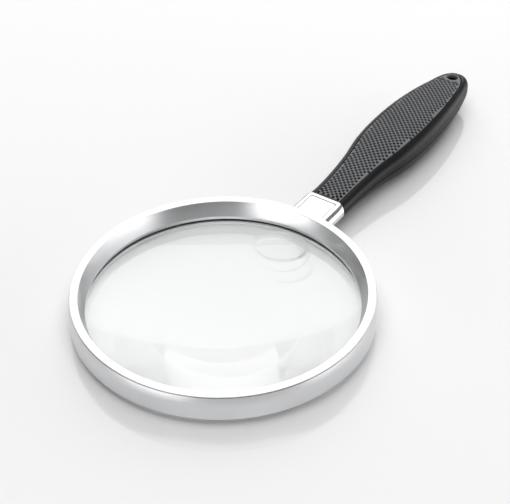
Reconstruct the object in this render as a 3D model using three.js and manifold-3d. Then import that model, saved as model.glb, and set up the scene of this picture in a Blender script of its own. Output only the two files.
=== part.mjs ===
// Large round reading lens in a silver frame, with a flat-topped black handle.
//
// Frame of the part: X runs from the lens to the tip of the handle, Z is the optical axis of the
// lens, and the origin is under the middle of the whole object. Millimetres throughout.
// The sub-parts are drawn about the lens axis, with Z = 0 at the bottom edge of the frame's wall,
// and the last lines move them together to the origin.

import * as THREE from "three";
import { mergeVertices } from "three/addons/utils/BufferGeometryUtils.js";
import Module from "manifold-3d";

// Driving dimensions

const GAP = 0.3; // clearance between neighbouring pieces

const FRAME_RADIUS = 60;
const FRAME_HEIGHT = 11.2;
const FRAME_TOP_RADIUS = 59.15; // outer edge of the flat top
const FRAME_TAPER_START = 7.5; // the wall leans in above this height
const BEZEL_INNER_RADIUS = 56; // inner edge of the flat top
const LIP_RADIUS = 53.8; // clear opening, where the funnel inside the bezel ends
const LIP_TOP = 4.95;
const LIP_BOTTOM = 4.35;
const LIP_SKIRT_RADIUS = 54.2; // a thin skirt under the lip hides the gasket
const LIP_SKIRT_BOTTOM = 3.7;
const BORE_RADIUS = 55.4; // bore that takes the lens from below
const WALL_BEVEL = 0.4; // at the bottom of the wall
const RETAINER_DROP = 2.3; // how far the retaining ring stands below the wall
const RETAINER_TOP = 0.6;
const RETAINER_FLANGE_RADIUS = 57.4;
const RETAINER_BEVEL = 0.5;

const LENS_RADIUS = 55;
const LENS_CURVATURE = 365; // radius of both faces
const LENS_EDGE = 1.2;
const LENS_MID = 2.5; // height of the lens's middle plane
const SEGMENT_RADIUS = 11;
const SEGMENT_OFFSET = 40.5; // from the lens axis, towards the handle
const SEGMENT_EDGE = 0.3;
const SEGMENT_HEIGHT = 1.9;
const SEGMENT_ROOT = 1; // depth of the segment's root inside the main lens

const GASKET_THICKNESS = 0.5;
const GASKET_INNER_RADIUS = 54.5;
const GASKET_OUTER_RADIUS = 55.1;

const HANDLE_MID = 4.1; // height of the seam between the two shells
const HANDLE_START = 71;
const HANDLE_CAP_START = 182; // the rounded tip begins here
const HANDLE_TIP = 195.2;
const HANDLE_TIP_POWER = 2.9; // a higher power gives a blunter tip
const HANDLE_THIN_END = 196.1; // where the handle's thickness would fall to nothing
const HANDLE_THIN_POWER = 2.5;
const HANDLE_SQUARENESS = 2.7; // exponent of the superellipse sections
// Stations along the handle: x, half width, rise above the seam, depth below the seam
const HANDLE_STATIONS = [
  [66, 9.7, 4.4, 4.8],
  [84, 9.2, 4.4, 5],
  [106, 10.9, 6.1, 7.2],
  [121, 13.5, 7.6, 8.9],
  [138, 14.5, 8.1, 9.6],
  [156, 13.8, 7.7, 9.0],
  [172, 11.7, 6.5, 7.8],
  [184, 9.2, 5.2, 6.3],
  [196, 6.6, 5.3, 4.8],
];
const SHELL_WALL = 2.4;
const CAVITY_START = 88;
const CAVITY_END = 172;

const PANEL_THICKNESS = 1.3;
const PANEL_PROUD = 0.2;
const PANEL_END = 190.8;
const PANEL_END_POWER = 2.2;
const PANEL_WIDTH_FACTOR = 0.88; // half width of the panel = factor x half width of handle - margin
const PANEL_MARGIN = 2.35;
const PANEL_FLOOR = 1.2; // shell left between panel pocket and cavity

const HANG_HOLE_X = 187.2;
const HANG_HOLE_RADIUS = 2.7;

const NECK_TOP = 8.3;
const NECK_BOTTOM = 1.1;
const NECK_HALF_WIDTH = 9.9;
const NECK_CORNER = 3.55;
const NECK_START = 54; // before the frame's wall is cut away
const NECK_END = 76.05;
const NECK_END_RADIUS = 22.5; // the neck's end is bowed towards the handle
const COVER_START = 61.2;
const COVER_SETBACK = 2.4; // from the neck's end to the plate's back edge
const COVER_HALF_WIDTH = 6;
const COVER_CORNER = 0.6;
const COVER_THICKNESS = 0.9;

const TANG_WIDTH = 12;
const TANG_TOP = 5.8;
const TANG_BOTTOM = 3.3;
const TANG_START = 58.3; // the front end sits in a pocket in the frame's wall
const TANG_END = 150;

const NECK_SCREW_X = { neck_screw_front: 64.2, neck_screw_rear: 69.7 };
const HANDLE_SCREW_X = { handle_screw_front: 100, handle_screw_rear: 140 };
const POST_RADIUS = 3.8;

// Countersunk screws with a hexagon socket. Heights are measured down from the head's top face.
const NECK_SCREW = { head: 2.3, headDepth: 0.9, shank: 1.25, length: 4.7 };
const NECK_SCREW_TOP = NECK_TOP - COVER_THICKNESS - 2 * GAP;
const HANDLE_SCREW = { head: 2.9, headDepth: 1.5, shank: 1.5 };
const HANDLE_SCREW_COVER = 1; // plastic left beyond the end of a handle screw
const SCREW_RIM = 0.1; // straight rim of a countersunk head
const SCREW_HOLE_WAY = 1; // room above a head, out through the face that it sits in
const SOCKET_RADIUS = 0.45; // as a share of the head's radius
const SOCKET_DEPTH = 0.6; // as a share of the head's depth

const REACH = 30; // cutting bodies run this far past the part
const ROUND_SEGMENTS = 72; // facets around the frame, its rings and the lens
const SMALL_SEGMENTS = 24; // facets around screws and holes
const SECTION_POINTS = 32; // points around one section of the handle
const STRAIGHT_SECTIONS = 15;
const TIP_SECTIONS = 6;
const TIP_BLUNT = 0.995; // the last section stands this share of the way to the very tip
const LENS_RINGS = 6;
const SEGMENT_RINGS = 4;
const CAVITY_SECTIONS = 12;

// Materials

const silver = new THREE.MeshStandardMaterial({ color: 0xc9cbcd, roughness: 0.32, metalness: 1 });
const steel = new THREE.MeshStandardMaterial({ color: 0xa3a5a8, roughness: 0.4, metalness: 1 });
const clearLens = new THREE.MeshStandardMaterial({ color: 0xf4f8f8, roughness: 0.02, metalness: 0 });
const blackShell = new THREE.MeshStandardMaterial({ color: 0x16171a, roughness: 0.38, metalness: 0 });
const gripRubber = new THREE.MeshStandardMaterial({ color: 0x54565a, roughness: 0.62, metalness: 0 });
const sealRubber = new THREE.MeshStandardMaterial({ color: 0x101010, roughness: 0.8, metalness: 0 });

// Booleans

const wasm = await Module();
wasm.setup();

function toSolid(geometry) {
  const bare = geometry.clone();
  bare.deleteAttribute("normal");
  bare.deleteAttribute("uv");
  const merged = mergeVertices(bare, 1e-4);
  const vertProperties = new Float32Array(merged.attributes.position.array);
  const triVerts = new Uint32Array(merged.index.array);
  return new wasm.Manifold(new wasm.Mesh({ numProp: 3, vertProperties, triVerts }));
}

function toGeometry(solid) {
  const mesh = solid.getMesh();
  const geometry = new THREE.BufferGeometry();
  geometry.setAttribute("position", new THREE.BufferAttribute(mesh.vertProperties, 3));
  geometry.setIndex(new THREE.BufferAttribute(mesh.triVerts, 1));
  geometry.computeVertexNormals();
  return geometry;
}

function without(solid, cutters) {
  return cutters.reduce((rest, cutter) => rest.subtract(cutter), solid);
}

// Basic solids

// A profile of [radius, height] pairs turned about Z.
function turned(profile, segments) {
  const points = profile.map(([radius, height]) => new THREE.Vector2(radius, height));
  return toSolid(new THREE.LatheGeometry(points, segments).rotateX(Math.PI / 2));
}

// A ring whose section is a closed outline of [radius, height] pairs, anticlockwise.
function turnedRing(outline, segments) {
  return turned([...outline, outline[0]], segments);
}

function verticalCylinder(x, radius, bottom, top, segments = SMALL_SEGMENTS) {
  const geometry = new THREE.CylinderGeometry(radius, radius, top - bottom, segments);
  return toSolid(geometry.rotateX(Math.PI / 2).translate(x, 0, (top + bottom) / 2));
}

function throughCylinder(x, radius, segments = SMALL_SEGMENTS) {
  return verticalCylinder(x, radius, -REACH, REACH, segments);
}

function block(xStart, xEnd, halfWidth, bottom, top) {
  const geometry = new THREE.BoxGeometry(xEnd - xStart, 2 * halfWidth, top - bottom);
  return toSolid(geometry.translate((xStart + xEnd) / 2, 0, (top + bottom) / 2));
}

// A shape drawn in X and Y, raised along Z.
function raised(shape, bottom, top) {
  const options = { depth: top - bottom, bevelEnabled: false, curveSegments: 3 };
  const geometry = new THREE.ExtrudeGeometry(shape, options);
  return toSolid(geometry.translate(0, 0, bottom));
}

// A shape drawn in Y and Z, carried along X.
function carried(shape, xStart, xEnd) {
  const options = { depth: xEnd - xStart, bevelEnabled: false, curveSegments: 4 };
  const geometry = new THREE.ExtrudeGeometry(shape, options);
  const axes = new THREE.Matrix4().makeBasis(
    new THREE.Vector3(0, 1, 0),
    new THREE.Vector3(0, 0, 1),
    new THREE.Vector3(1, 0, 0),
  );
  return toSolid(geometry.applyMatrix4(axes).translate(xStart, 0, 0));
}

function roundedRectangle(left, right, bottom, top, corner) {
  const shape = new THREE.Shape();
  shape.moveTo(left + corner, bottom);
  shape.lineTo(right - corner, bottom);
  shape.absarc(right - corner, bottom + corner, corner, -Math.PI / 2, 0, false);
  shape.lineTo(right, top - corner);
  shape.absarc(right - corner, top - corner, corner, 0, Math.PI / 2, false);
  shape.lineTo(left + corner, top);
  shape.absarc(left + corner, top - corner, corner, Math.PI / 2, Math.PI, false);
  shape.lineTo(left, bottom + corner);
  shape.absarc(left + corner, bottom + corner, corner, Math.PI, 1.5 * Math.PI, false);
  return shape;
}

// Lens frame: a tapered bezel above a bore, with a pocket for the tang

function lensFrame() {
  const ring = turnedRing([
    [BORE_RADIUS, 0],
    [FRAME_RADIUS - WALL_BEVEL, 0],
    [FRAME_RADIUS, WALL_BEVEL],
    [FRAME_RADIUS, FRAME_TAPER_START],
    [FRAME_TOP_RADIUS, FRAME_HEIGHT],
    [BEZEL_INNER_RADIUS, FRAME_HEIGHT],
    [LIP_RADIUS, LIP_TOP],
    [LIP_RADIUS, LIP_SKIRT_BOTTOM],
    [LIP_SKIRT_RADIUS, LIP_SKIRT_BOTTOM],
    [LIP_SKIRT_RADIUS, LIP_BOTTOM],
    [BORE_RADIUS, LIP_BOTTOM],
  ], ROUND_SEGMENTS);
  return ring.subtract(tangSlot(TANG_START - GAP, FRAME_RADIUS + REACH));
}

function retainingRing() {
  return turnedRing([
    [LIP_RADIUS, -RETAINER_DROP],
    [RETAINER_FLANGE_RADIUS - RETAINER_BEVEL, -RETAINER_DROP],
    [RETAINER_FLANGE_RADIUS, RETAINER_BEVEL - RETAINER_DROP],
    [RETAINER_FLANGE_RADIUS, -GAP],
    [BORE_RADIUS - GAP, -GAP],
    [BORE_RADIUS - GAP, RETAINER_TOP],
    [LIP_RADIUS, RETAINER_TOP],
  ], ROUND_SEGMENTS);
}

function gasket(bottom) {
  const top = bottom + GASKET_THICKNESS;
  return turnedRing([
    [GASKET_INNER_RADIUS, bottom],
    [GASKET_OUTER_RADIUS, bottom],
    [GASKET_OUTER_RADIUS, top],
    [GASKET_INNER_RADIUS, top],
  ], ROUND_SEGMENTS);
}

// Main lens: two shallow spherical faces, with a small stronger lens moulded on the upper one

function lensFaceHeight(radius) {
  const sag = (LENS_RADIUS ** 2 - radius ** 2) / (2 * LENS_CURVATURE);
  return LENS_EDGE / 2 + sag;
}

function mainLens() {
  const radii = Array.from({ length: LENS_RINGS + 1 }, (_, i) => (LENS_RADIUS * i) / LENS_RINGS);
  const lower = radii.map((radius) => [radius, LENS_MID - lensFaceHeight(radius)]);
  const upper = radii.map((radius) => [radius, LENS_MID + lensFaceHeight(radius)]).reverse();
  const disc = turned([...lower, ...upper], ROUND_SEGMENTS);
  return disc.add(lensSegment());
}

function lensSegment() {
  const rise = SEGMENT_HEIGHT - SEGMENT_EDGE;
  const dome = Array.from({ length: SEGMENT_RINGS + 1 }, (_, i) => {
    const radius = SEGMENT_RADIUS * (1 - i / SEGMENT_RINGS);
    return [radius, SEGMENT_HEIGHT - rise * (radius / SEGMENT_RADIUS) ** 2];
  });
  const profile = [[0, -SEGMENT_ROOT], [SEGMENT_RADIUS, -SEGMENT_ROOT], ...dome];
  const points = profile.map(([radius, height]) => new THREE.Vector2(radius, height));
  const tilt = Math.asin(SEGMENT_OFFSET / LENS_CURVATURE);
  const geometry = new THREE.LatheGeometry(points, ROUND_SEGMENTS / 2)
    .rotateX(Math.PI / 2)
    .rotateY(tilt)
    .translate(SEGMENT_OFFSET, 0, LENS_MID + lensFaceHeight(SEGMENT_OFFSET));
  return toSolid(geometry);
}

// Handle body: superellipse sections along a curved outline, with a rounded tip

const handleCurve = new THREE.CubicInterpolant(
  HANDLE_STATIONS.map((station) => station[0]),
  HANDLE_STATIONS.flatMap((station) => station.slice(1)),
  3,
);

function handleSize(x) {
  const [halfWidth, rise, depth] = handleCurve.evaluate(x);
  return { halfWidth, rise, depth };
}

// Falls from 1 to 0 between the start of the rounded tip and its end.
function tipFade(x, end, power) {
  const along = THREE.MathUtils.clamp((x - HANDLE_CAP_START) / (end - HANDLE_CAP_START), 0, 1);
  return (1 - along ** power) ** (1 / power);
}

function stationsTo(end) {
  const run = HANDLE_CAP_START - HANDLE_START;
  const straight = Array.from({ length: STRAIGHT_SECTIONS }, (_, i) => {
    return HANDLE_START + (run * i) / STRAIGHT_SECTIONS;
  });
  const cap = Array.from({ length: TIP_SECTIONS + 1 }, (_, i) => {
    const along = Math.sin(((Math.PI / 2) * i) / TIP_SECTIONS) * TIP_BLUNT;
    return HANDLE_CAP_START + (end - HANDLE_CAP_START) * along;
  });
  return [...straight, ...cap];
}

function superellipse(angle, halfWidth, height) {
  const exponent = 2 / HANDLE_SQUARENESS;
  const across = Math.sign(Math.cos(angle)) * Math.abs(Math.cos(angle)) ** exponent;
  const up = Math.sign(Math.sin(angle)) * Math.abs(Math.sin(angle)) ** exponent;
  return [halfWidth * across, height * up];
}

// Joins rings of points, all with the same count, into a closed surface with flat ends.
function loft(rings) {
  const count = rings[0].length;
  const positions = rings.flat(2);
  const indices = [];
  for (let ring = 0; ring < rings.length - 1; ring += 1) {
    for (let i = 0; i < count; i += 1) {
      const next = (i + 1) % count;
      const a = ring * count + i;
      const b = ring * count + next;
      indices.push(a, b, a + count, b, b + count, a + count);
    }
  }
  for (const [ring, reverse] of [[0, true], [rings.length - 1, false]]) {
    const centre = positions.length / 3;
    const middle = new THREE.Vector3();
    rings[ring].forEach((point) => middle.add(new THREE.Vector3(...point)));
    positions.push(...middle.divideScalar(count).toArray());
    for (let i = 0; i < count; i += 1) {
      const a = ring * count + i;
      const b = ring * count + ((i + 1) % count);
      indices.push(...(reverse ? [centre, b, a] : [centre, a, b]));
    }
  }
  const geometry = new THREE.BufferGeometry();
  geometry.setAttribute("position", new THREE.Float32BufferAttribute(positions, 3));
  geometry.setIndex(indices);
  return toSolid(geometry);
}

// The handle's whole outer body, moved up by lift.
function handleBody(lift = 0) {
  return loft(stationsTo(HANDLE_TIP).map((x) => {
    const { halfWidth, rise, depth } = handleSize(x);
    const width = halfWidth * tipFade(x, HANDLE_TIP, HANDLE_TIP_POWER);
    const thin = tipFade(x, HANDLE_THIN_END, HANDLE_THIN_POWER);
    return sectionRing(x, width, rise * thin, depth * thin, HANDLE_MID + lift);
  }));
}

function sectionRing(x, halfWidth, rise, depth, seam) {
  return Array.from({ length: SECTION_POINTS }, (_, i) => {
    const angle = (2 * Math.PI * i) / SECTION_POINTS;
    const height = Math.sin(angle) > 0 ? rise : depth;
    const [y, z] = superellipse(angle, halfWidth, height);
    return [x, y, seam + z];
  });
}

// The space inside the shells, around the posts that the screws pull on.
function handleCavity() {
  const inset = PANEL_THICKNESS + GAP + PANEL_FLOOR;
  const hollow = loft(Array.from({ length: CAVITY_SECTIONS + 1 }, (_, i) => {
    const x = CAVITY_START + ((CAVITY_END - CAVITY_START) * i) / CAVITY_SECTIONS;
    const { halfWidth, rise, depth } = handleSize(x);
    return sectionRing(x, halfWidth - SHELL_WALL, rise - inset, depth - inset, HANDLE_MID);
  }));
  const posts = Object.values(HANDLE_SCREW_X).map((x) => throughCylinder(x, POST_RADIUS));
  return without(hollow, posts);
}

// Plan of the grip panels: a margin inside the handle's outline, open to the neck.
function panelPlan(growth) {
  const end = PANEL_END + growth;
  const edge = stationsTo(end).map((x) => {
    const inner = PANEL_WIDTH_FACTOR * handleSize(x).halfWidth - PANEL_MARGIN;
    return new THREE.Vector2(x, inner * tipFade(x, end, PANEL_END_POWER) + growth);
  });
  const mirrored = edge.map((point) => new THREE.Vector2(point.x, -point.y)).reverse();
  return new THREE.Shape([...mirrored, ...edge]);
}

// A tall cylinder about the bow of the neck's end, inside that end by inset.
function bowCylinder(inset) {
  return throughCylinder(NECK_END - NECK_END_RADIUS, NECK_END_RADIUS - inset, ROUND_SEGMENTS);
}

function hangHole() {
  return throughCylinder(HANG_HOLE_X, HANG_HOLE_RADIUS);
}

// side is 1 for the half above the seam and -1 for the half below it.
function halfOf(solid, side, offset) {
  const bottom = side > 0 ? HANDLE_MID + offset : -REACH;
  const top = side > 0 ? REACH : HANDLE_MID - offset;
  return solid.intersect(block(HANDLE_START - REACH, HANDLE_TIP + REACH, REACH, bottom, top));
}

function gripPanel(side) {
  const slab = halfOf(raised(panelPlan(0), -REACH, REACH), side, GAP);
  const skin = slab.intersect(handleBody(side * PANEL_PROUD));
  return without(skin, [handleBody(-side * PANEL_THICKNESS), bowCylinder(-GAP), hangHole()]);
}

function panelPocket(side) {
  const slab = halfOf(raised(panelPlan(GAP), -REACH, REACH), side, GAP);
  return slab.subtract(handleBody(-side * (PANEL_THICKNESS + GAP)));
}

function tangSlot(xStart, xEnd) {
  return block(xStart, xEnd, TANG_WIDTH / 2 + GAP, TANG_BOTTOM - GAP, TANG_TOP + GAP);
}

function handleShell(side) {
  return without(halfOf(handleBody(), side, GAP / 2), [
    panelPocket(side),
    handleCavity(),
    tangSlot(HANDLE_START - REACH, TANG_END + GAP),
    bowCylinder(-GAP),
    hangHole(),
    ...Object.values(HANDLE_SCREW_X).map((x) => handleScrewHole(x)),
  ]);
}

// Neck: a collar around the tang, with a blank cover plate let into its top

function neckCollar() {
  const side = NECK_HALF_WIDTH;
  const section = roundedRectangle(-side, side, NECK_BOTTOM, NECK_TOP, NECK_CORNER);
  const collar = carried(section, NECK_START, NECK_END + REACH).intersect(bowCylinder(0));
  return without(collar, [
    throughCylinder(0, FRAME_RADIUS + GAP, ROUND_SEGMENTS),
    tangSlot(NECK_START - REACH, NECK_END + REACH),
    coverBlank(GAP, NECK_TOP - COVER_THICKNESS - GAP, NECK_TOP + REACH),
    ...Object.values(NECK_SCREW_X).map((x) => neckScrewHole(x)),
  ]);
}

// The cover plate's outline, widened by growth. Its back edge follows the neck's bow.
function coverBlank(growth, bottom, top) {
  const side = COVER_HALF_WIDTH + growth;
  const outline = roundedRectangle(COVER_START - growth, NECK_END, -side, side, COVER_CORNER);
  return raised(outline, bottom, top).intersect(bowCylinder(COVER_SETBACK - growth));
}

function coverPlate() {
  return coverBlank(0, NECK_TOP - COVER_THICKNESS, NECK_TOP);
}

// Tang: a flat steel bar from the frame's wall to the middle of the handle

function handleTang() {
  const bar = block(TANG_START, TANG_END, TANG_WIDTH / 2, TANG_BOTTOM, TANG_TOP);
  const screws = [
    ...Object.values(NECK_SCREW_X).map((x) => [x, NECK_SCREW.shank]),
    ...Object.values(HANDLE_SCREW_X).map((x) => [x, HANDLE_SCREW.shank]),
  ];
  return without(bar, screws.map(([x, shank]) => throughCylinder(x, shank + GAP)));
}

// Screws

// clearance widens the screw into its hole, which runs on past the head by way.
function screwBody({ head, headDepth, shank, length }, clearance, way) {
  return turned([
    [0, -length - clearance],
    [shank + clearance, -length - clearance],
    [shank + clearance, -headDepth],
    [head + clearance, 0],
    [head + clearance, way],
    [0, way],
  ], SMALL_SEGMENTS);
}

function screw(size) {
  const socketBottom = -SOCKET_DEPTH * size.headDepth;
  const socket = verticalCylinder(0, SOCKET_RADIUS * size.head, socketBottom, REACH, 6);
  return screwBody(size, 0, SCREW_RIM).subtract(socket);
}

function neckScrewHole(x) {
  return screwBody(NECK_SCREW, GAP, SCREW_HOLE_WAY).translate([x, 0, NECK_SCREW_TOP]);
}

// The handle screws go in from below, so their head's top face looks down.
function handleScrewSeat(x) {
  return HANDLE_MID - handleSize(x).depth + PANEL_THICKNESS + 2 * GAP;
}

function handleScrewSize(x) {
  const pocketFloor = HANDLE_MID + handleSize(x).rise - PANEL_THICKNESS - GAP;
  return { ...HANDLE_SCREW, length: pocketFloor - HANDLE_SCREW_COVER - GAP - handleScrewSeat(x) };
}

function handleScrewHole(x) {
  const hole = screwBody(handleScrewSize(x), GAP, SCREW_HOLE_WAY).rotate([180, 0, 0]);
  return hole.translate([x, 0, handleScrewSeat(x)]);
}

// Assembly

function piece(name, solid, material) {
  const mesh = new THREE.Mesh(toGeometry(solid), material);
  mesh.name = name;
  return mesh;
}

function lensGroup() {
  const lensEdgeBottom = LENS_MID - lensFaceHeight(LIP_RADIUS);
  const lensEdgeTop = LENS_MID + lensFaceHeight(LIP_RADIUS);
  const group = new THREE.Group();
  group.add(
    piece("lens_frame", lensFrame(), silver),
    piece("main_lens", mainLens(), clearLens),
    piece("upper_lens_gasket", gasket(lensEdgeTop + GAP), sealRubber),
    piece("lower_lens_gasket", gasket(lensEdgeBottom - GAP - GASKET_THICKNESS), sealRubber),
    piece("lens_retaining_ring", retainingRing(), silver),
  );
  return group;
}

function neckGroup() {
  const group = new THREE.Group();
  group.add(
    piece("neck_collar", neckCollar(), silver),
    piece("neck_cover_plate", coverPlate(), silver),
    piece("handle_tang", handleTang(), steel),
  );
  for (const [name, x] of Object.entries(NECK_SCREW_X)) {
    const mesh = piece(name, screw(NECK_SCREW), steel);
    mesh.position.set(x, 0, NECK_SCREW_TOP);
    group.add(mesh);
  }
  return group;
}

function handleGroup() {
  const group = new THREE.Group();
  group.add(
    piece("handle_upper_shell", handleShell(1), blackShell),
    piece("handle_lower_shell", handleShell(-1), blackShell),
    piece("upper_grip_panel", gripPanel(1), gripRubber),
    piece("lower_grip_panel", gripPanel(-1), gripRubber),
  );
  for (const [name, x] of Object.entries(HANDLE_SCREW_X)) {
    const mesh = piece(name, screw(handleScrewSize(x)), steel);
    mesh.position.set(x, 0, handleScrewSeat(x));
    mesh.rotation.x = Math.PI;
    group.add(mesh);
  }
  return group;
}

const handLens = new THREE.Group();
handLens.add(lensGroup(), neckGroup(), handleGroup());

// The origin goes under the middle of the whole object.
const extent = new THREE.Box3().setFromObject(handLens, true);
handLens.position.set(-(extent.min.x + extent.max.x) / 2, 0, -extent.min.z);

export default handLens;
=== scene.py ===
"""A large round reading lens in a silver frame, with a black handle and dimpled grips.

Shapes are drawn in millimetres about the lens axis, with height 0 at the bottom edge of the
frame's wall. place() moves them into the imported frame, in metres.
"""
import math

import bmesh
import bpy
import numpy as np
from mathutils import Matrix, Vector

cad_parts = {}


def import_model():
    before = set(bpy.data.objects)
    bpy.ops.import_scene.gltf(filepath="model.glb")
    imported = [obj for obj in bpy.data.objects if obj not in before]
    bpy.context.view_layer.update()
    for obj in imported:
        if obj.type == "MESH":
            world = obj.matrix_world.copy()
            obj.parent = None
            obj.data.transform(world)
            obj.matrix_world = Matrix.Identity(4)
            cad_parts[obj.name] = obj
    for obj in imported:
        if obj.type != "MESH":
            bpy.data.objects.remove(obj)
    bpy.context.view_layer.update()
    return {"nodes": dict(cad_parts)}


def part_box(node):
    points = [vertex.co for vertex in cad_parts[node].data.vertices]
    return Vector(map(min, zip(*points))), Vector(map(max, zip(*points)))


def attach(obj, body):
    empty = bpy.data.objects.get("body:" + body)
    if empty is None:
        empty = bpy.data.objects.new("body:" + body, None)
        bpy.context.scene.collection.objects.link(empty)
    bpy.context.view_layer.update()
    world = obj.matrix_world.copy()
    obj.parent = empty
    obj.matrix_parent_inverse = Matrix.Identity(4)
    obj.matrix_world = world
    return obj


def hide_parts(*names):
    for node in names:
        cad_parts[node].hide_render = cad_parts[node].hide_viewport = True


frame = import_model()

# ---------------------------------------------------------------- sizes, in millimetres

GAP = 0.3  # between neighbouring pieces

FRAME_RADIUS = 60
FRAME_HEIGHT = 11.2
FRAME_TOP_RADIUS = 59.15
FRAME_TAPER_START = 7.5
FRAME_TAPER_ROUND = 8
SEAM_BOTTOM = 0.25
SEAM_TOP = 0.6
SEAM_DEPTH = 0.7
EDGE_LINE_BOTTOM = 10.62
EDGE_LINE_TOP = 10.95
EDGE_LINE_DEPTH = 0.6
BEZEL_INNER_RADIUS = 56
LIP_RADIUS = 53.8
LIP_TOP = 4.95
LIP_BOTTOM = 4.35
LIP_SKIRT_RADIUS = 54.2
LIP_SKIRT_BOTTOM = 3.7
BORE_RADIUS = 55.4
RETAINER_DROP = 2.3
RETAINER_TOP = 0.6
RETAINER_FLANGE_RADIUS = 57.4

LENS_RADIUS = 55
LENS_CURVATURE = 365
LENS_EDGE = 1.2
LENS_MID = 2.5
SEGMENT_RADIUS = 11
SEGMENT_OFFSET = 40.5
SEGMENT_EDGE = 0.3
SEGMENT_HEIGHT = 1.9
# The segment's soft edge: parts of its radius, and parts of SEGMENT_EDGE left there
SEGMENT_EDGE_PROFILE = ((0.97, 0.82), (0.985, 0.6), (1, 0.35), (1.015, 0.12), (1.03, 0))

GASKET_THICKNESS = 0.5
GASKET_INNER_RADIUS = 54.5
GASKET_OUTER_RADIUS = 55.1
GASKET_ROUND = 0.15

HANDLE_MID = 4.1
HANDLE_START = 76.35
HANDLE_CAP_START = 182
HANDLE_TIP = 195.2
HANDLE_TIP_POWER = 2.9
HANDLE_THIN_END = 196.1
HANDLE_THIN_POWER = 2.5
HANDLE_SQUARENESS = 2.7
HANDLE_SEAM_ROUND = 0.3
# Stations along the handle: x, half width, rise above the seam, depth below the seam
HANDLE_STATIONS = np.array([
    (66, 9.7, 4.4, 4.8),
    (84, 9.2, 4.4, 5),
    (106, 10.9, 6.1, 7.2),
    (121, 13.5, 7.6, 8.9),
    (138, 14.5, 8.1, 9.6),
    (156, 13.8, 7.7, 9.0),
    (172, 11.7, 6.5, 7.8),
    (184, 9.2, 5.2, 6.3),
    (196, 6.6, 5.3, 4.8),
])
PANEL_END = 190.8
PANEL_END_POWER = 2.2
PANEL_WIDTH_FACTOR = 0.88
PANEL_MARGIN = 2.35
PANEL_THICKNESS = 1.3
PANEL_PROUD = 0.2
PANEL_GROOVE = 0.5
PANEL_GROOVE_ROUND = 0.12
PANEL_ROUND_WIDTH = 0.35
PANEL_ROUND_DROP = 0.22

HANG_HOLE_X = 187.2
HANG_HOLE_RADIUS = 2.7

DIMPLE_PITCH = 1.7
DIMPLE_RADIUS = 0.7
DIMPLE_DEPTH = 0.8
DIMPLE_STEEPNESS = 2.2  # of the dimples' sides: above 1 they have flat floors
DIMPLE_START = HANDLE_START + 0.2
DIMPLE_BORDER = 0.5  # smooth margin between the dimples and the panel's edge
HOLE_BORDER = 4.4  # smooth patch around the hanging hole

NECK_TOP = 8.3
NECK_BOTTOM = 1.1
NECK_HALF_WIDTH = 9.9
NECK_CORNER = 3.55
NECK_END = 76.05
NECK_END_RADIUS = 22.5
BOW_REACH = 8  # how far into the handle the bow of the neck's end fades out
COVER_START = 61.2
COVER_SETBACK = 2.4
COVER_HALF_WIDTH = 6
COVER_THICKNESS = 0.9
COVER_CORNER = 0.6
COVER_GAP = 0.3

# The camera looks past the lens at this bearing, height and distance from the bezel's centre.
CAMERA_AZIMUTH = -55.6
CAMERA_ELEVATION = 38.3
CAMERA_DISTANCE = 537
CAMERA_LENS = 98.1
CAMERA_RIGHT = 12.4
CAMERA_UP = 14.1

# Each softbox: name, bearing from the camera's, elevation, then its distance from LIGHT_CENTRE,
# width and height in metres, and watts.
SOFTBOXES = (
    ("far_softbox", 180, 38, 1.5, 1.9, 1.8, 15.9),
    ("top_softbox", 0, 74, 1.6, 1.7, 1.7, 15.6),
    ("left_softbox", -46, 8, 1.3, 1.1, 0.34, 3.7),
    ("right_softbox", 92, 9, 1.3, 2.2, 0.4, 7.7),
)
LIGHT_CENTRE = (40, 0, 0)
WORLD_STRENGTH = 0.14
FLOOR_SIZE = 6  # metres

# How finely the pieces are made
TURN_SEGMENTS = 288
LENS_INNER_RINGS = 16
LENS_OUTER_RINGS = 25
LENS_BACK_RINGS = 24
SHELL_STEP = 1.0
SHELL_SIDE_STEPS = 22
PANEL_STEP = 0.21
PANEL_COLUMNS = 104
TIP_STEPS = 15
WELD_DISTANCE = 0.002
SHARP_ANGLE = 32  # degrees between faces, above which an edge is shaded as sharp
LENS_SHARP_ANGLE = 40
PANEL_SHARP_ANGLE = 60
CUTTER_REACH = 20  # how far a hole's cutter reaches above and below

# ---------------------------------------------------------------- placing and mesh helpers

MM = 0.001
frame_low, frame_high = (Vector(corner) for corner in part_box("lens_frame"))
AXIS = Vector(((frame_low.x + frame_high.x) / 2, (frame_low.y + frame_high.y) / 2, frame_low.z))


def place(point):
    """A point drawn in millimetres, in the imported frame."""
    return AXIS + Vector(point) * MM


def make_piece(name, points, faces, slot, nodes, material, sharp_angle=SHARP_ANGLE):
    """A mesh piece that rides on the part and stands for its CAD nodes."""
    mesh = bpy.data.meshes.new(name)
    placed = np.asarray(points, float) * MM + np.array(AXIS)
    mesh.from_pydata(placed.tolist(), [], faces)
    mesh.validate()
    piece = bpy.data.objects.new(name, mesh)
    bpy.context.collection.objects.link(piece)
    weld(mesh)
    shade_smooth(mesh, sharp_angle)
    mesh.materials.append(material)
    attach(piece, "root")
    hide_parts(*nodes)
    return piece


def weld(mesh):
    """Merges points that coincide, and turns the faces outwards."""
    work = bmesh.new()
    work.from_mesh(mesh)
    bmesh.ops.remove_doubles(work, verts=work.verts, dist=WELD_DISTANCE * MM)
    bmesh.ops.recalc_face_normals(work, faces=work.faces)
    work.to_mesh(mesh)
    work.free()


def shade_smooth(mesh, sharp_angle=SHARP_ANGLE):
    mesh.polygons.foreach_set("use_smooth", [True] * len(mesh.polygons))
    mesh.set_sharp_from_angle(angle=math.radians(sharp_angle))


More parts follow.
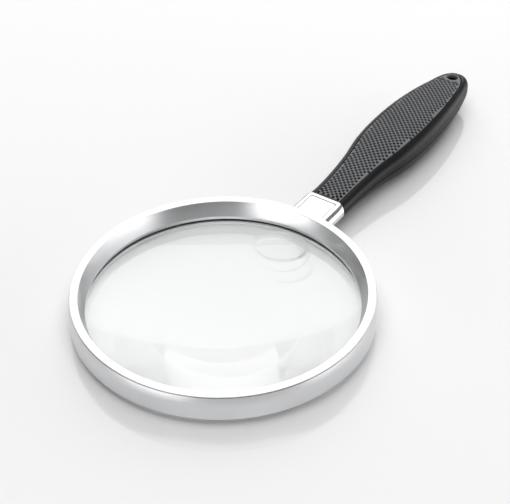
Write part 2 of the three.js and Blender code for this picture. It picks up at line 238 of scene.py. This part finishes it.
def fillet(outline, steps=5):
    """A closed outline of (radius, height, corner radius), with its corners rounded off."""
    count = len(outline)
    rounded = []
    for i, (x, y, corner) in enumerate(outline):
        here = Vector((x, y))
        if corner == 0:
            rounded.append((x, y))
            continue
        before = (Vector(outline[i - 1][:2]) - here).normalized()
        after = (Vector(outline[(i + 1) % count][:2]) - here).normalized()
        half = before.angle(after) / 2
        reach = corner / math.tan(half)
        centre = here + (before + after).normalized() * (corner / math.sin(half))
        first = here + before * reach - centre
        sweep = first.angle_signed(here + after * reach - centre)
        for step in range(steps + 1):
            turn = Matrix.Rotation(-sweep * step / steps, 2)
            rounded.append(tuple(centre + turn @ first))
    return rounded


def turn(outline, segments=TURN_SEGMENTS):
    """Points and faces of a closed outline of (radius, height) turned about the lens axis."""
    angles = np.linspace(0, 2 * math.pi, segments, endpoint=False)
    radius, height = np.array(outline).T
    x = np.outer(np.cos(angles), radius)
    y = np.outer(np.sin(angles), radius)
    z = np.tile(height, (segments, 1))
    points = np.stack([x, y, z], axis=-1).reshape(-1, 3)
    return points, wrap_faces(segments, len(outline), closed=True)


def wrap_faces(rings, count, closed=False):
    """Quads between rings of count points each. closed joins the last ring to the first."""
    faces = []
    for ring in range(rings if closed else rings - 1):
        a, b = ring * count, ((ring + 1) % rings) * count
        faces += [(a + i, a + (i + 1) % count, b + (i + 1) % count, b + i) for i in range(count)]
    return faces


def loft(rings):
    """Points and faces of a closed body through rings of points, with flat ends."""
    rings = np.asarray(rings, float)
    total, count = rings.shape[:2]
    faces = wrap_faces(total, count)
    faces.append(tuple(range(count)))
    faces.append(tuple(range((total - 1) * count, total * count)))
    return rings.reshape(-1, 3), faces


def cut(piece, name, points, faces):
    """Cuts a closed body, drawn in millimetres, out of a piece."""
    mesh = bpy.data.meshes.new(name)
    mesh.from_pydata([tuple(place(point)) for point in points], [], faces)
    weld(mesh)
    cutter = bpy.data.objects.new(name, mesh)
    bpy.context.collection.objects.link(cutter)
    modifier = piece.modifiers.new(name, "BOOLEAN")
    modifier.operation = "DIFFERENCE"
    modifier.object = cutter
    modifier.solver = "EXACT"
    depsgraph = bpy.context.evaluated_depsgraph_get()
    result = bpy.data.meshes.new_from_object(piece.evaluated_get(depsgraph))
    piece.modifiers.remove(modifier)
    piece.data = result
    bpy.data.objects.remove(cutter)
    bpy.data.meshes.remove(mesh)
    shade_smooth(result)


def circle(x, radius, segments=48):
    """Points of a circle centred on the part's middle line at x."""
    angles = np.linspace(0, 2 * math.pi, segments, endpoint=False)
    return [(x + radius * math.cos(a), radius * math.sin(a)) for a in angles]


def column(outline, heights):
    """Points and faces of an outline of (x, y) raised between heights, with its own inset each.

    heights is a list of (z, inset), where the inset pulls the outline in towards its middle.
    """
    middle_x = (min(x for x, _ in outline) + max(x for x, _ in outline)) / 2
    half_x = max(x for x, _ in outline) - middle_x
    half_y = max(y for _, y in outline)
    rings = []
    for z, inset in heights:
        scale_x, scale_y = 1 - inset / half_x, 1 - inset / half_y
        rings.append([(middle_x + (x - middle_x) * scale_x, y * scale_y, z) for x, y in outline])
    return loft(rings)


def rounded_rectangle(left, right, low, high, corner, steps=8):
    """Outline of a rectangle whose corners are arcs of the same radius."""
    corners = [(left, low), (right, low), (right, high), (left, high)]
    return fillet([(x, y, corner) for x, y in corners], steps)


# ---------------------------------------------------------------- materials

# Sockets of a Mix node that mixes colours
MIX_FACTOR, MIX_LOW, MIX_HIGH, MIX_RESULT = 0, 6, 7, 2

METAL_GRAIN = 5200


def new_material(name, colour, roughness, metallic=0.0):
    """A new material, with its node tree and its shader."""
    material = bpy.data.materials.new(name)
    material.use_nodes = True
    tree = material.node_tree
    shader = tree.nodes["Principled BSDF"]
    shader.inputs["Base Color"].default_value = (*colour, 1)
    shader.inputs["Roughness"].default_value = roughness
    shader.inputs["Metallic"].default_value = metallic
    return material, tree, shader


def add_node(tree, kind, inputs=(), **settings):
    """A node with its settings, and its inputs set to numbers or linked to sockets."""
    node = tree.nodes.new(kind)
    for key, value in settings.items():
        setattr(node, key, value)
    for key, value in dict(inputs).items():
        if isinstance(value, bpy.types.NodeSocket):
            tree.links.new(value, node.inputs[key])
        else:
            node.inputs[key].default_value = value
    return node


def object_place(tree):
    """The point being shaded, in the part's own frame in metres."""
    return add_node(tree, "ShaderNodeTexCoord").outputs["Object"]


def noise(tree, vector, scale, detail=2.0, roughness=0.5):
    inputs = {"Vector": vector, "Scale": scale, "Detail": detail, "Roughness": roughness}
    return add_node(tree, "ShaderNodeTexNoise", inputs).outputs["Fac"]


def spread(tree, value, low, high):
    """Maps a value of 0 to 1 onto low to high."""
    inputs = {"Value": value, "To Min": low, "To Max": high}
    return add_node(tree, "ShaderNodeMapRange", inputs).outputs["Result"]


def bump(tree, shader, height, strength, distance_mm):
    """Raises the surface's shading by up to distance_mm."""
    inputs = {"Height": height, "Strength": strength, "Distance": distance_mm * MM}
    node = add_node(tree, "ShaderNodeBump", inputs)
    tree.links.new(node.outputs["Normal"], shader.inputs["Normal"])


def blend_colour(tree, factor, low, high):
    """Mixes two colours by a factor of 0 to 1. Each is a fixed colour or another node's output."""
    ends = [(*c, 1) if isinstance(c, tuple) else c for c in (low, high)]
    inputs = {MIX_FACTOR: factor, MIX_LOW: ends[0], MIX_HIGH: ends[1]}
    return add_node(tree, "ShaderNodeMix", inputs, data_type="RGBA").outputs[MIX_RESULT]


def clouded(tree, shader, colour, where, scale):
    """Lets a metal's colour vary a little, in soft clouds."""
    cloud = noise(tree, where, scale)
    darker = tuple(0.97 * c for c in colour)
    tree.links.new(blend_colour(tree, cloud, darker, colour), shader.inputs["Base Color"])


def turned_metal(name, colour, roughness):
    """Silver plate with the fine rings that turning leaves, round the lens axis."""
    material, tree, shader = new_material(name, colour, roughness, 1.0)
    from_axis = add_node(tree, "ShaderNodeVectorMath", {0: object_place(tree), 1: tuple(AXIS)},
                         operation="SUBTRACT").outputs["Vector"]
    split = add_node(tree, "ShaderNodeSeparateXYZ", {"Vector": from_axis})
    flat = add_node(tree, "ShaderNodeCombineXYZ",
                    {"X": split.outputs["X"], "Y": split.outputs["Y"]}).outputs["Vector"]
    radius = add_node(tree, "ShaderNodeVectorMath", {0: flat}, operation="LENGTH").outputs["Value"]
    rings = add_node(tree, "ShaderNodeCombineXYZ",
                     {"X": radius, "Y": split.outputs["Z"]}).outputs["Vector"]
    lines = noise(tree, rings, 9000, 2.0, 0.6)
    grain = noise(tree, from_axis, METAL_GRAIN)
    tree.links.new(spread(tree, grain, roughness - 0.04, roughness + 0.04), shader.inputs["Roughness"])
    clouded(tree, shader, colour, from_axis, 60)
    bump(tree, shader, lines, 0.03, 0.01)
    return material


def satin_metal(name, colour, roughness):
    """Silver plate with a faint blasted grain."""
    material, tree, shader = new_material(name, colour, roughness, 1.0)
    where = object_place(tree)
    grain = noise(tree, where, METAL_GRAIN)
    tree.links.new(spread(tree, grain, roughness - 0.04, roughness + 0.04), shader.inputs["Roughness"])
    clouded(tree, shader, colour, where, 90)
    bump(tree, shader, grain, 0.08, 0.01)
    return material


def brushed_steel():
    """Steel of the hidden screws and tang, with fine lines along the handle."""
    material, tree, shader = new_material("brushed_steel", (0.5, 0.51, 0.52), 0.4, 1.0)
    stretched = add_node(tree, "ShaderNodeVectorMath", {0: object_place(tree), 1: (60, 3000, 3000)},
                         operation="MULTIPLY").outputs["Vector"]
    lines = noise(tree, stretched, 1.0)
    tree.links.new(spread(tree, lines, 0.34, 0.46), shader.inputs["Roughness"])
    bump(tree, shader, lines, 0.2, 0.01)
    return material


def clear_glass():
    """Clear lens glass with faint smears."""
    material, tree, shader = new_material("clear_glass", (0.985, 0.995, 0.99), 0.0)
    shader.inputs["Transmission Weight"].default_value = 1.0
    shader.inputs["IOR"].default_value = 1.52
    smears = noise(tree, object_place(tree), 25, 3.0)
    tree.links.new(spread(tree, smears, 0.0, 0.008), shader.inputs["Roughness"])
    return material


def black_shell():
    """Satin black moulded plastic with a fine spark-eroded grain."""
    material, tree, shader = new_material("black_shell", (0.009, 0.0093, 0.01), 0.3)
    shader.inputs["Specular IOR Level"].default_value = 0.22
    where = object_place(tree)
    grain = noise(tree, where, 3600)
    cloud = noise(tree, where, 40)
    tree.links.new(spread(tree, cloud, 0.32, 0.4), shader.inputs["Roughness"])
    bump(tree, shader, grain, 0.05, 0.02)
    return material


def grip_rubber():
    """Dark grey rubber, with painted shade that turns it near black inside the dimples."""
    material, tree, shader = new_material("grip_rubber", (0.12, 0.122, 0.126), 0.5)
    shader.inputs["Specular IOR Level"].default_value = 0.1
    where = object_place(tree)
    grain = noise(tree, where, 2800, 3.0)
    cloud = noise(tree, where, 55)
    # Painted shade: how deep in a dimple a point is, which darkens the colour there.
    dimple = add_node(tree, "ShaderNodeAttribute", attribute_name="dimple").outputs["Fac"]
    land = blend_colour(tree, cloud, (0.18, 0.184, 0.192), (0.22, 0.225, 0.233))
    # Painted shade: near black colour in the dimples' hollows, standing in for their shade.
    colour = blend_colour(tree, dimple, land, (0.006, 0.006, 0.007))
    tree.links.new(colour, shader.inputs["Base Color"])
    tree.links.new(spread(tree, grain, 0.42, 0.56), shader.inputs["Roughness"])
    bump(tree, shader, grain, 0.15, 0.02)
    return material


def seal_rubber():
    """Matt black rubber of the seals round the lens."""
    material, tree, shader = new_material("seal_rubber", (0.01, 0.01, 0.01), 0.7)
    grain = noise(tree, object_place(tree), 2500)
    bump(tree, shader, grain, 0.2, 0.02)
    return material


def white_acrylic():
    """Glossy white sheet under the object, with a slight haze."""
    material, tree, shader = new_material("white_acrylic", (0.92, 0.92, 0.92), 0.05)
    shader.inputs["IOR"].default_value = 1.75
    haze = noise(tree, object_place(tree), 9, 3.0)
    tree.links.new(spread(tree, haze, 0.06, 0.1), shader.inputs["Roughness"])
    return material


TURNED_SILVER = turned_metal("turned_silver", (0.785, 0.79, 0.8), 0.33)
SATIN_SILVER = satin_metal("satin_silver", (0.85, 0.855, 0.86), 0.25)
STEEL = brushed_steel()
GLASS = clear_glass()
SHELL = black_shell()
GRIP = grip_rubber()
SEAL = seal_rubber()

# ---------------------------------------------------------------- frame, rings and lens

def wall_radius(height):
    """Radius of the frame's outer wall, which leans in towards its top."""
    return float(np.interp(height, (FRAME_TAPER_START, FRAME_HEIGHT),
                           (FRAME_RADIUS, FRAME_TOP_RADIUS)))


def lens_frame():
    """The silver ring, with a fine line turned just below its top and one just above its foot."""
    line_foot, line_head = wall_radius(EDGE_LINE_BOTTOM), wall_radius(EDGE_LINE_TOP)
    outline = [
        (BORE_RADIUS, 0, 0),
        (FRAME_RADIUS, 0, 0.12),
        (FRAME_RADIUS, SEAM_BOTTOM, 0.06),
        (FRAME_RADIUS - SEAM_DEPTH, SEAM_BOTTOM, 0),
        (FRAME_RADIUS - SEAM_DEPTH, SEAM_TOP, 0),
        (FRAME_RADIUS, SEAM_TOP, 0.1),
        (FRAME_RADIUS, FRAME_TAPER_START, FRAME_TAPER_ROUND),
        (line_foot, EDGE_LINE_BOTTOM, 0.05),
        (line_foot - EDGE_LINE_DEPTH, EDGE_LINE_BOTTOM, 0),
        (line_head - EDGE_LINE_DEPTH, EDGE_LINE_TOP, 0),
        (line_head, EDGE_LINE_TOP, 0.04),
        (FRAME_TOP_RADIUS, FRAME_HEIGHT, 0.12),
        (BEZEL_INNER_RADIUS, FRAME_HEIGHT, 0.3),
        (LIP_RADIUS, LIP_TOP, 0.15),
        (LIP_RADIUS, LIP_SKIRT_BOTTOM, 0.1),
        (LIP_SKIRT_RADIUS, LIP_SKIRT_BOTTOM, 0.1),
        (LIP_SKIRT_RADIUS, LIP_BOTTOM, 0),
        (BORE_RADIUS, LIP_BOTTOM, 0),
    ]
    make_piece("lens_frame_ring", *turn(fillet(outline)), "bezel_silver", ["lens_frame"],
               TURNED_SILVER)


def retaining_ring():
    """The ring below the lens, whose flange shows under the foot of the wall."""
    outline = [
        (LIP_RADIUS, -RETAINER_DROP, 0.3),
        (RETAINER_FLANGE_RADIUS, -RETAINER_DROP, 0.5),
        (RETAINER_FLANGE_RADIUS, -GAP, 0.15),
        (BORE_RADIUS - GAP, -GAP, 0),
        (BORE_RADIUS - GAP, RETAINER_TOP, 0.1),
        (LIP_RADIUS, RETAINER_TOP, 0.1),
    ]
    make_piece("retaining_ring", *turn(fillet(outline)), "bezel_silver", ["lens_retaining_ring"],
               TURNED_SILVER)


def lens_face(radius):
    """Height of the lens's face above its middle plane."""
    return LENS_EDGE / 2 + (LENS_RADIUS ** 2 - radius ** 2) / (2 * LENS_CURVATURE)


def gaskets():
    """The seals above and below the rim of the lens."""
    above = LENS_MID + lens_face(LIP_RADIUS) + GAP
    below = LENS_MID - lens_face(LIP_RADIUS) - GAP - GASKET_THICKNESS
    for name, bottom in (("upper_lens_gasket", above), ("lower_lens_gasket", below)):
        top = bottom + GASKET_THICKNESS
        outline = [
            (GASKET_INNER_RADIUS, bottom, GASKET_ROUND),
            (GASKET_OUTER_RADIUS, bottom, GASKET_ROUND),
            (GASKET_OUTER_RADIUS, top, GASKET_ROUND),
            (GASKET_INNER_RADIUS, top, GASKET_ROUND),
        ]
        make_piece(name + "_seal", *turn(fillet(outline, 3)), "seal_black", [name], SEAL)


def main_lens():
    """The lens, with the stronger segment moulded on its upper face.

    The upper face is laid out in circles that grow from the segment's rim to the lens's edge, so
    that the rim is a clean circle in the mesh.
    """
    angles = np.linspace(0, 2 * math.pi, TURN_SEGMENTS, endpoint=False)
    rise = SEGMENT_HEIGHT - SEGMENT_EDGE
    rings = []

    def ring(centre, radius, lift=0.0):
        x = centre + radius * np.cos(angles)
        y = radius * np.sin(angles)
        z = LENS_MID + lens_face(np.hypot(x, y)) + lift
        rings.append(np.stack([x, y, z], axis=-1))

    for part in np.linspace(0.02, 0.94, LENS_INNER_RINGS):
        ring(SEGMENT_OFFSET, SEGMENT_RADIUS * part, SEGMENT_HEIGHT - rise * part ** 2)
    for part, lift in SEGMENT_EDGE_PROFILE:
        ring(SEGMENT_OFFSET, SEGMENT_RADIUS * part, SEGMENT_EDGE * lift)
    for part in np.linspace(0, 1, LENS_OUTER_RINGS + 1)[1:]:
        ring(SEGMENT_OFFSET * (1 - part), SEGMENT_RADIUS + (LENS_RADIUS - SEGMENT_RADIUS) * part)
    for radius in np.linspace(LENS_RADIUS, LENS_RADIUS * 0.01, LENS_BACK_RINGS):
        x, y = radius * np.cos(angles), radius * np.sin(angles)
        z = np.full(TURN_SEGMENTS, LENS_MID - lens_face(radius))
        rings.append(np.stack([x, y, z], axis=-1))
    lens = make_piece("reading_lens", *loft(rings), "clear_lens", ["main_lens"], GLASS,
                      sharp_angle=LENS_SHARP_ANGLE)
    # Shadow and diffuse rays pass the lens by, so the floor under it is lit as if it were not there.
    lens.visible_shadow = False
    lens.visible_diffuse = False


# ---------------------------------------------------------------- handle

def handle_size(x):
    """Half width, rise and depth of the handle at x, on a smooth curve through its stations."""
    along, values = HANDLE_STATIONS[:, 0], HANDLE_STATIONS[:, 1:]
    secant = np.diff(values, axis=0) / np.diff(along)[:, None]
    slope = np.vstack([secant[0], (secant[1:] + secant[:-1]) / 2, secant[-1]])
    i = int(np.clip(np.searchsorted(along, x, side="right") - 1, 0, len(along) - 2))
    run = along[i + 1] - along[i]
    p = (x - along[i]) / run
    start = (2 * p ** 3 - 3 * p ** 2 + 1) * values[i] + (p ** 3 - 2 * p ** 2 + p) * run * slope[i]
    end = (3 * p ** 2 - 2 * p ** 3) * values[i + 1] + (p ** 3 - p ** 2) * run * slope[i + 1]
    return start + end


def tip_fade(x, end, power):
    """1 up to the start of the handle's cap, then falling to 0 at end as a rounded tip does."""
    along = np.clip((x - HANDLE_CAP_START) / (end - HANDLE_CAP_START), 0, 1)
    return (1 - along ** power) ** (1 / power)


def body_section(x):
    """Half width, rise and depth, rounded off towards the tip."""
    half_width, rise, depth = handle_size(x)
    thin = tip_fade(x, HANDLE_THIN_END, HANDLE_THIN_POWER)
    return half_width * tip_fade(x, HANDLE_TIP, HANDLE_TIP_POWER), rise * thin, depth * thin


def panel_half_width(x, growth=0.0):
    """Half width of a grip panel at x, or of its recess, which is larger all round by growth."""
    end = PANEL_END + growth
    if x >= end:
        return 0.0
    inner = PANEL_WIDTH_FACTOR * handle_size(x)[0] - PANEL_MARGIN
    return inner * tip_fade(x, end, PANEL_END_POWER) + growth


def superellipse_height(y, half_width, height):
    """Height of the handle's section above the seam, at y from its middle."""
    part = np.clip(np.abs(y) / max(half_width, 1e-6), 0, 1)
    return height * (1 - part ** HANDLE_SQUARENESS) ** (1 / HANDLE_SQUARENESS)


def neck_bow(y):
    """How far the joint between neck and handle falls back at y, from its middle."""
    radius = NECK_END_RADIUS + GAP
    return np.sqrt(radius ** 2 - np.asarray(y, float) ** 2) - radius


def bowed(ring, x):
    """Gives a ring of points at x the bow of the neck joint, which fades out along the handle."""
    fade = max(0.0, 1 - (x - HANDLE_START) / BOW_REACH)
    ring[:, 0] += neck_bow(ring[:, 1]) * fade
    return ring


def stations(start, step, ends):
    """Places along the handle: even steps, then closer ones round each end in turn."""
    run = np.arange(start, HANDLE_CAP_START, step)
    closer = np.sin(np.linspace(0, math.pi / 2, TIP_STEPS + 1))
    last = HANDLE_CAP_START
    places = [run]
    for end in ends:
        places.append(last + (end - last) * closer[:-1])
        last = end - 0.02
    places.append([last])
    return np.unique(np.round(np.concatenate(places), 4))


def shell_half(x, side):
    """One half of a shell's section at x: (y, height above the seam), from the seam upwards."""
    half_width, rise, depth = body_section(x)
    height = rise if side > 0 else depth
    seam = GAP / 2
    corner = HANDLE_SEAM_ROUND * min(1, half_width)
    grown = panel_half_width(x, PANEL_GROOVE)
    sunk = PANEL_THICKNESS + GAP if grown > 0 else 0.0
    points = [(half_width * 0.5, seam), (half_width - corner, seam)]
    points.append((half_width - 0.3 * corner, seam + 0.1 * corner))
    first = math.asin(min(1, (seam + corner) / max(height, 0.3)))
    exponent = 2 / HANDLE_SQUARENESS
    rim = math.acos(min(1, (grown / max(half_width, 1e-6))) ** (1 / exponent))
    for angle in np.linspace(first * 0.8, rim, SHELL_SIDE_STEPS):
        y = half_width * math.cos(angle) ** exponent
        z = height * math.sin(angle) ** exponent
        points.append((y, max(z, seam + corner)))
    top = superellipse_height(grown, half_width, height)
    soft = min(PANEL_GROOVE_ROUND, grown)
    points.append((grown - 0.25 * soft, top - 0.35 * soft if grown > 0 else top))
    points.append((grown - 0.3 * soft, top - sunk))
    points.append((grown * 0.5, superellipse_height(grown * 0.5, half_width, height) - sunk))
    return points


def handle_shell(side):
    """The upper shell, for side 1, or the lower shell, for side -1."""
    rings = []
    for x in stations(HANDLE_START, SHELL_STEP, (PANEL_END + GAP, HANDLE_TIP)):
        half = np.array(shell_half(x, side))
        full = np.vstack([half, (half * (-1, 1))[::-1]])
        ring = np.column_stack([np.full(len(full), x), full[:, 0], HANDLE_MID + side * full[:, 1]])
        rings.append(bowed(ring, x))
    name = "upper" if side > 0 else "lower"
    shell = make_piece(f"{name}_shell", *loft(rings), "shell_black", [f"handle_{name}_shell"], SHELL)
    cut(shell, "shell_hole", *hang_hole())


def hang_hole():
    """Points and faces of the column that is cut out for the hanging hole."""
    return column(circle(HANG_HOLE_X, HANG_HOLE_RADIUS), [(-CUTTER_REACH, 0), (CUTTER_REACH, 0)])


PANEL_SAMPLES = np.linspace(HANDLE_START - 2, PANEL_END + 1, 600)
PANEL_WIDTHS = np.array([panel_half_width(x) for x in PANEL_SAMPLES])


def panel_edge(x):
    """Half width of a grip panel at each of many places."""
    return np.interp(x, PANEL_SAMPLES, PANEL_WIDTHS)


def dimple_depth(x, y):
    """0 on the land to 1 in the middle of a dimple. The dimples lie on a diagonal square grid."""
    along, across = (x + y) / math.sqrt(2), (x - y) / math.sqrt(2)
    near = [np.round(c / DIMPLE_PITCH) * DIMPLE_PITCH for c in (along, across)]
    centre_x, centre_y = (near[0] + near[1]) / math.sqrt(2), (near[0] - near[1]) / math.sqrt(2)
    margin = panel_edge(centre_x) - np.abs(centre_y)
    away = np.hypot(centre_x - HANG_HOLE_X, centre_y) - HOLE_BORDER
    kept = (margin > DIMPLE_BORDER) & (away > 0) & (centre_x > DIMPLE_START)
    from_centre = np.hypot(along - near[0], across - near[1]) / DIMPLE_RADIUS
    return np.where(kept, np.clip(DIMPLE_STEEPNESS * (1 - from_centre ** 2), 0, 1), 0.0)


def grip_panel(side):
    """The dimpled panel on top of the handle, for side 1, or below it, for side -1."""
    rings = []
    for x in stations(HANDLE_START, PANEL_STEP, (PANEL_END,)):
        half_width, rise, depth = body_section(x)
        height = rise if side > 0 else depth
        edge = panel_half_width(x)
        y = np.linspace(-edge, edge, PANEL_COLUMNS + 1)
        top = superellipse_height(y, half_width, height) + PANEL_PROUD
        sunk = dimple_depth(np.full_like(y, x), y)
        into_round = np.clip((np.abs(y) - edge) / PANEL_ROUND_WIDTH + 1, 0, 1)
        top = top - sunk * DIMPLE_DEPTH - into_round ** 2 * PANEL_ROUND_DROP
        middle = PANEL_COLUMNS // 2
        base = superellipse_height(y[[0, middle, -1]], half_width, height) - PANEL_THICKNESS
        ys = np.concatenate([y, [edge, 0, -edge]])
        zs = np.concatenate([top, base[::-1]])
        ring = np.column_stack([np.full(len(ys), x), ys, HANDLE_MID + side * zs])
        rings.append(bowed(ring, x))
    name = "upper" if side > 0 else "lower"
    panel = make_piece(f"{name}_grip", *loft(rings), "grip_rubber", [f"{name}_grip_panel"], GRIP,
                       sharp_angle=PANEL_SHARP_ANGLE)
    cut(panel, "grip_hole", *hang_hole())
    mark_dimples(panel.data)


def mark_dimples(mesh):
    """Stores how deep in a dimple each point is, for the material, which paints shade into the dimples
    from it.
    """
    count = len(mesh.vertices)
    spots = np.empty(count * 3)
    mesh.vertices.foreach_get("co", spots)
    spots = (spots.reshape(-1, 3) - np.array(AXIS)) / MM
    values = dimple_depth(spots[:, 0], spots[:, 1])
    # This attribute is the mask of the painted shade in the dimples.
    layer = mesh.attributes.new("dimple", "FLOAT", "POINT")
    layer.data.foreach_set("value", values.astype(np.float32))


# ---------------------------------------------------------------- neck

def bow(y, inset):
    """Where the arc that bows the neck's end lies at y, when it is drawn inside by inset."""
    centre = NECK_END - NECK_END_RADIUS
    return centre + np.sqrt((NECK_END_RADIUS - inset) ** 2 - np.asarray(y, float) ** 2)


def neck_ring(inset, shrink):
    """A section of the neck, drawn in from its end by inset and smaller all round by shrink."""
    side = NECK_HALF_WIDTH - shrink
    corner = NECK_CORNER - shrink
    outline = rounded_rectangle(-side, side, NECK_BOTTOM + shrink, NECK_TOP - shrink, corner, 14)
    return np.array([(bow(y, inset), y, z) for y, z in outline])


def neck_collar():
    """The silver block between frame and handle, with the seat of its cover plate."""
    front = neck_ring(0, 0)
    front[:, 0] = np.sqrt((FRAME_RADIUS + GAP) ** 2 - front[:, 1] ** 2)
    rings = [front]
    for inset, shrink in ((3, 0), (0.3, 0), (0.1, 0.05), (0.02, 0.15), (0, 0.4)):
        rings.append(neck_ring(inset, shrink))
    collar = make_piece("neck_ferrule", *loft(rings), "neck_silver", ["neck_collar"], SATIN_SILVER)
    heights = [(NECK_TOP - COVER_THICKNESS - GAP, 0), (NECK_TOP + 2, 0)]
    cut(collar, "cover_seat", *column(cover_outline(COVER_GAP), heights))


def cover_outline(growth):
    """Outline of the cover plate, widened by growth. Its back edge follows the neck's bow."""
    side = COVER_HALF_WIDTH + 0.85 * growth
    inset = COVER_SETBACK - 1.6 * growth
    outline = rounded_rectangle(COVER_START - growth, NECK_END, -side, side, COVER_CORNER)
    return [(min(x, float(bow(y, inset))), y) for x, y in outline]


def cover_plate():
    """The blank plate that lies flush in the top of the neck."""
    heights = [(NECK_TOP - COVER_THICKNESS, 0), (NECK_TOP - 0.18, 0), (NECK_TOP - 0.05, 0.05),
               (NECK_TOP, 0.18)]
    make_piece("cover_plate", *column(cover_outline(0), heights), "neck_silver",
               ["neck_cover_plate"], SATIN_SILVER)


def steel_parts():
    """Gives the hidden screws and tang their steel. Their CAD shapes stay."""
    for name in ("handle_tang", "neck_screw_front", "neck_screw_rear", "handle_screw_front",
                 "handle_screw_rear"):
        materials = frame["nodes"][name].data.materials
        materials.clear()
        materials.append(STEEL)


# ---------------------------------------------------------------- build

lens_frame()
retaining_ring()
gaskets()
main_lens()
handle_shell(1)
handle_shell(-1)
grip_panel(1)
grip_panel(-1)
neck_collar()
cover_plate()
steel_parts()

# ---------------------------------------------------------------- floor, lights and camera

# The part rests on the far side of its retaining ring and on the belly of its handle.
belly_x = HANDLE_STATIONS[HANDLE_STATIONS[:, 3].argmax(), 0]
belly_z = HANDLE_MID - HANDLE_STATIONS[:, 3].max() - PANEL_PROUD
ring_foot = Vector((-RETAINER_FLANGE_RADIUS, 0, -RETAINER_DROP))
slope = (Vector((belly_x, 0, belly_z)) - ring_foot).normalized()
floor_normal = slope.cross(Vector((0, 1, 0)))
floor_turn = Matrix((slope, (0, 1, 0), floor_normal)).transposed()


def bearing(azimuth, elevation):
    """Direction from the part towards a bearing seen over the floor, as the camera's is."""
    a, e = math.radians(azimuth), math.radians(elevation)
    back = Vector((math.sin(a) * math.cos(e), -math.cos(a) * math.cos(e), math.sin(e)))
    return floor_turn @ back


def look_along(thing, direction, up):
    """Turns a lamp or camera to look along a direction."""
    side = direction.cross(up).normalized()
    turned_up = side.cross(direction).normalized()
    thing.rotation_mode = "QUATERNION"
    thing.rotation_quaternion = Matrix((side, turned_up, -direction)).transposed().to_quaternion()


def floor():
    """The floor that the part lies on, which is tilted against the part's own frame."""
    bpy.ops.mesh.primitive_grid_add(x_subdivisions=8, y_subdivisions=8, size=FLOOR_SIZE)
    ground = bpy.context.object
    ground.name = "studio_floor"
    ground.matrix_world = Matrix.Translation(place(ring_foot)) @ floor_turn.to_4x4()
    ground.data.materials.append(white_acrylic())


def softbox(name, azimuth, elevation, distance, width, height, power):
    """A rectangular lamp that faces the part, at an azimuth measured from the camera's."""
    lamp = bpy.data.lights.new(name, "AREA")
    lamp.shape = "RECTANGLE"
    lamp.size, lamp.size_y = width, height
    lamp.energy = power
    box = bpy.data.objects.new(name, lamp)
    bpy.context.collection.objects.link(box)
    towards = bearing(CAMERA_AZIMUTH + azimuth, elevation)
    box.location = place(LIGHT_CENTRE) + towards * distance
    look_along(box, -towards, floor_normal)


def camera():
    """The camera, past the lens at the viewing angle of the sizes above."""
    cam = bpy.data.cameras.new("camera")
    cam.lens = CAMERA_LENS
    cam.sensor_width = 36
    view = bpy.data.objects.new("camera", cam)
    bpy.context.collection.objects.link(view)
    bpy.context.scene.camera = view
    back = bearing(CAMERA_AZIMUTH, CAMERA_ELEVATION)
    right = floor_normal.cross(back).normalized()
    up = back.cross(right)
    target = Vector((0, 0, FRAME_HEIGHT)) + right * CAMERA_RIGHT + up * CAMERA_UP
    view.location = place(target + back * CAMERA_DISTANCE)
    look_along(view, -back, floor_normal)


def world():
    """A faint even light from all round."""
    backdrop = bpy.data.worlds.new("studio")
    backdrop.use_nodes = True
    light = backdrop.node_tree.nodes["Background"].inputs
    light["Color"].default_value = (1, 1, 1, 1)
    light["Strength"].default_value = WORLD_STRENGTH
    bpy.context.scene.world = backdrop


floor()
for settings in SOFTBOXES:
    softbox(*settings)
camera()
world()
bpy.context.scene.view_settings.view_transform = "Standard"
# With the default of 4, the frame's sloping inner face and the lower part of the lens are darker.
bpy.context.scene.cycles.glossy_bounces = 12
